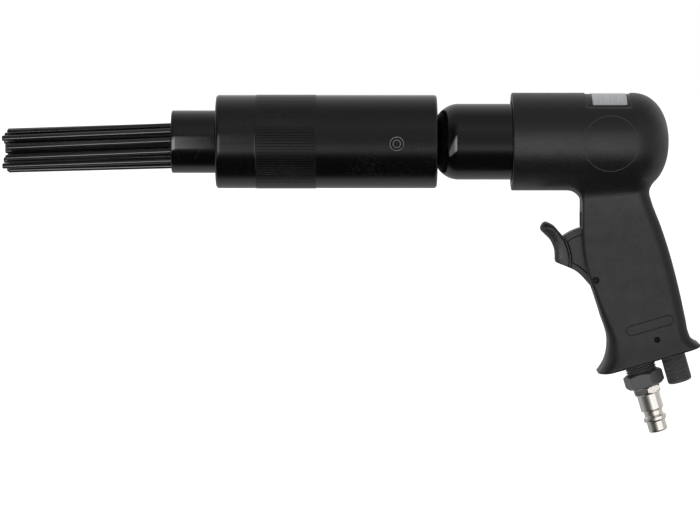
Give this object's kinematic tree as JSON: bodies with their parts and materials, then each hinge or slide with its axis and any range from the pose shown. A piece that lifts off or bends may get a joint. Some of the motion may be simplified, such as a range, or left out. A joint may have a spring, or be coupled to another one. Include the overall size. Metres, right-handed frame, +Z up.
{
  "type": "pneumatic needle scaler",
  "caption": "Pistol-grip air needle scaler: a bundle of loose steel needles in a nose tube and ridged sleeve, a barrel with piston, and a trigger grip with air plug and regulator.",
  "frame": {"origin": "on the barrel axis, where the straight outer wall of the nose tube begins behind its rounded front edge", "axes": "+X runs back along the barrel axis from the needles to the housing, +Z up away from the grip, +Y to the tool's left side as seen by the person holding it reversed, so the pictured side faces -Y"},
  "size_m": [0.3737, 0.0524, 0.1836],
  "materials": {
    "satin_black": "satin black steel",
    "gloss_black": "polished black steel",
    "black_oxide": "black oxide steel",
    "coated_casting": "fine-grained black coating on cast aluminium",
    "needle_steel": "dark drawn steel",
    "bright_steel": "ground steel",
    "nickel": "nickel-plated steel",
    "brass": "turned brass",
    "silver_foil": "blank metallised foil plate",
    "rubber": "black rubber"
  },
  "bodies": {
    "tool": {"nose_tube": "gloss_black", "sleeve": "satin_black", "sleeve_set_screw": "satin_black", "anvil_buffer": "rubber", "barrel_adaptor": "satin_black", "barrel": "gloss_black", "barrel_o_ring": "rubber", "valve_case_front": "bright_steel", "valve_case_rear": "bright_steel", "valve_dowel": "bright_steel", "rear_cushion": "rubber", "handle_housing": "coated_casting", "top_plate": "silver_foil", "trigger_pin": "satin_black", "throttle_bush": "brass", "throttle_seal": "rubber", "inlet_bush": "black_oxide", "inlet_strainer": "brass", "air_plug": "nickel", "regulator_pin": "satin_black", "holder_spring": "bright_steel", "throttle_spring": "bright_steel"},
    "holder": {"needle_holder": "bright_steel"},
    "anvil": {"anvil": "bright_steel"},
    "piston": {"piston": "bright_steel"},
    "valve_disc": {"valve_disc": "bright_steel"},
    "trigger": {"trigger": "satin_black"},
    "throttle_valve": {"throttle_valve": "brass"},
    "regulator": {"regulator": "black_oxide", "regulator_o_ring": "rubber"},
    "needle_01": {"needle_01": "needle_steel"},
    "needle_02": {"needle_02": "needle_steel"},
    "needle_03": {"needle_03": "needle_steel"},
    "needle_04": {"needle_04": "needle_steel"},
    "needle_05": {"needle_05": "needle_steel"},
    "needle_06": {"needle_06": "needle_steel"},
    "needle_07": {"needle_07": "needle_steel"},
    "needle_08": {"needle_08": "needle_steel"},
    "needle_09": {"needle_09": "needle_steel"},
    "needle_10": {"needle_10": "needle_steel"},
    "needle_11": {"needle_11": "needle_steel"},
    "needle_12": {"needle_12": "needle_steel"},
    "needle_13": {"needle_13": "needle_steel"},
    "needle_14": {"needle_14": "needle_steel"},
    "needle_15": {"needle_15": "needle_steel"},
    "needle_16": {"needle_16": "needle_steel"},
    "needle_17": {"needle_17": "needle_steel"},
    "needle_18": {"needle_18": "needle_steel"},
    "needle_19": {"needle_19": "needle_steel"}
  },
  "joints": [
    {"name": "holder_stroke", "type": "slide", "parent": "tool", "child": "holder", "axis": [-1, 0, 0], "range_m": [0, 0.008], "stiffness_N_per_m": 2500, "springref_m": -0.006, "deforming": ["holder_spring"]},
    {"name": "anvil_stroke", "type": "slide", "parent": "tool", "child": "anvil", "axis": [-1, 0, 0], "range_m": [0, 0.008]},
    {"name": "piston_stroke", "type": "slide", "parent": "tool", "child": "piston", "axis": [-1, 0, 0], "range_m": [0, 0.038]},
    {"name": "valve_flutter", "type": "slide", "parent": "tool", "child": "valve_disc", "axis": [-1, 0, 0], "range_m": [0, 0.0014]},
    {"name": "trigger_squeeze", "type": "hinge", "parent": "tool", "child": "trigger", "pos_m": [0.2259, 0, -0.0735], "axis": [0, 1, 0], "range_deg": [0, 14], "stiffness_Nm_per_rad": 0.4, "springref_deg": -17.19},
    {"name": "throttle_push", "type": "slide", "parent": "tool", "child": "throttle_valve", "axis": [0.9598, 0, 0.2807], "range_m": [0, 0.00445], "deforming": ["throttle_spring"]},
    {"name": "regulator_turn", "type": "hinge", "parent": "tool", "child": "regulator", "pos_m": [0.2682, 0, -0.11375], "axis": [-0.2807, 0, 0.9598], "continuous": true},
    {"name": "needle_01_slide", "type": "slide", "parent": "holder", "child": "needle_01", "axis": [0.9996, 0, 0.029], "range_m": [-0.00105, 0.00895]},
    {"name": "needle_02_slide", "type": "slide", "parent": "holder", "child": "needle_02", "axis": [0.9997, 0.0057, 0.0246], "range_m": [-0.00314, 0.00685]},
    {"name": "needle_03_slide", "type": "slide", "parent": "holder", "child": "needle_03", "axis": [0.9995, 0.0067, 0.0317], "range_m": [-0.00037, 0.00963]},
    {"name": "needle_04_slide", "type": "slide", "parent": "holder", "child": "needle_04", "axis": [0.9993, 0.0009, 0.0361], "range_m": [-0.00146, 0.00854]},
    {"name": "needle_05_slide", "type": "slide", "parent": "holder", "child": "needle_05", "axis": [0.9994, -0.0057, 0.0333], "range_m": [-0.00299, 0.00701]},
    {"name": "needle_06_slide", "type": "slide", "parent": "holder", "child": "needle_06", "axis": [0.9996, -0.0067, 0.0262], "range_m": [-0.00015, 0.00985]},
    {"name": "needle_07_slide", "type": "slide", "parent": "holder", "child": "needle_07", "axis": [0.9998, -0.0009, 0.0218], "range_m": [-0.00188, 0.00812]},
    {"name": "needle_08_slide", "type": "slide", "parent": "holder", "child": "needle_08", "axis": [0.9998, 0.0095, 0.0175], "range_m": [-0.00273, 0.00727]},
    {"name": "needle_09_slide", "type": "slide", "parent": "holder", "child": "needle_09", "axis": [0.9996, 0.014, 0.0238], "range_m": [-0.00002, 0.00998]},
    {"name": "needle_10_slide", "type": "slide", "parent": "holder", "child": "needle_10", "axis": [0.9994, 0.0147, 0.0315], "range_m": [-0.00228, 0.00772]},
    {"name": "needle_11_slide", "type": "slide", "parent": "holder", "child": "needle_11", "axis": [0.9992, 0.0115, 0.0385], "range_m": [-0.0024, 0.0076]},
    {"name": "needle_12_slide", "type": "slide", "parent": "holder", "child": "needle_12", "axis": [0.9991, 0.0052, 0.0429], "range_m": [-0.00001, 0.00999]},
    {"name": "needle_13_slide", "type": "slide", "parent": "holder", "child": "needle_13", "axis": [0.999, -0.0025, 0.0437], "range_m": [-0.00263, 0.00737]},
    {"name": "needle_14_slide", "type": "slide", "parent": "holder", "child": "needle_14", "axis": [0.9991, -0.0095, 0.0405], "range_m": [-0.00201, 0.00799]},
    {"name": "needle_15_slide", "type": "slide", "parent": "holder", "child": "needle_15", "axis": [0.9993, -0.014, 0.0342], "range_m": [-0.0001, 0.0099]},
    {"name": "needle_16_slide", "type": "slide", "parent": "holder", "child": "needle_16", "axis": [0.9995, -0.0147, 0.0265], "range_m": [-0.00291, 0.00709]},
    {"name": "needle_17_slide", "type": "slide", "parent": "holder", "child": "needle_17", "axis": [0.9997, -0.0115, 0.0195], "range_m": [-0.0016, 0.0084]},
    {"name": "needle_18_slide", "type": "slide", "parent": "holder", "child": "needle_18", "axis": [0.9999, -0.0052, 0.015], "range_m": [-0.00029, 0.00971]},
    {"name": "needle_19_slide", "type": "slide", "parent": "holder", "child": "needle_19", "axis": [0.9999, 0.0025, 0.0143], "range_m": [-0.0031, 0.0069]}
  ],
  "couplings": [
    {"joint": "anvil_stroke", "follows": "holder_stroke", "ratio": 1},
    {"joint": "throttle_push", "follows": "trigger_squeeze", "m_per_rad": 0.018098}
  ]
}
